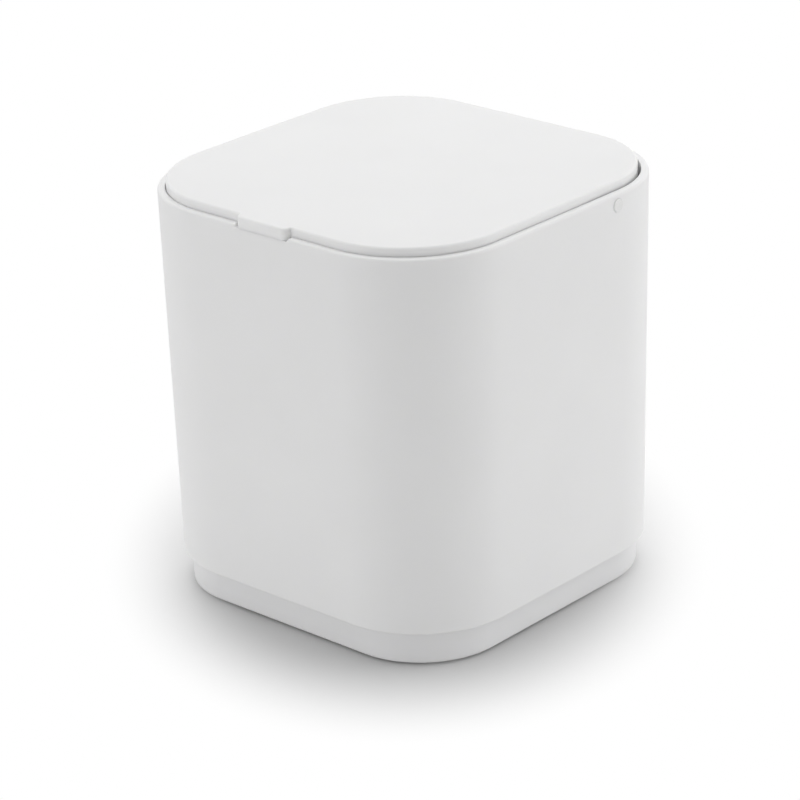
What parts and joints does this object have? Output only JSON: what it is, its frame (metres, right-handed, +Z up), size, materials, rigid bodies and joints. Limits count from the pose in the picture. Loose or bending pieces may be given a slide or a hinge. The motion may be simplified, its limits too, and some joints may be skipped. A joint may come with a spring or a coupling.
{
  "type": "countertop trash can",
  "caption": "Rounded-square countertop bin: a tapered sleeve with a swinging inset lid and front tab, standing on a lift-out inner bucket that shows as a plinth.",
  "frame": {"origin": "centre of the footprint on the table, under the four feet", "axes": "+Z up, the lid's tab at the front towards -Y, the hinge axis along X"},
  "size_m": [0.1556, 0.155, 0.1649],
  "materials": {
    "sleeve_plastic": "satin moulded, white",
    "bucket_plastic": "satin moulded, white",
    "lid_plastic": "satin moulded, white",
    "panel_plastic": "fine moulded grain, white",
    "pin_plastic": "smooth, white",
    "foot_rubber": "soft, pale grey"
  },
  "bodies": {
    "bucket": {"inner_bucket": "bucket_plastic", "foot_front_left": "foot_rubber", "foot_front_right": "foot_rubber", "foot_rear_left": "foot_rubber", "foot_rear_right": "foot_rubber"},
    "sleeve": {"outer_sleeve": "sleeve_plastic", "hinge_pin_left": "pin_plastic", "hinge_pin_right": "pin_plastic"},
    "lid": {"lid_cover": "lid_plastic", "lid_underpanel": "panel_plastic"}
  },
  "joints": [
    {"name": "sleeve_lift", "type": "slide", "parent": "bucket", "child": "sleeve", "axis": [0, 0, 1], "range_m": [0, 0.092]},
    {"name": "lid_swing", "type": "hinge", "parent": "sleeve", "child": "lid", "pos_m": [0, 0.031, 0.157], "axis": [-1, 0, 0], "range_deg": [0, 75]}
  ]
}
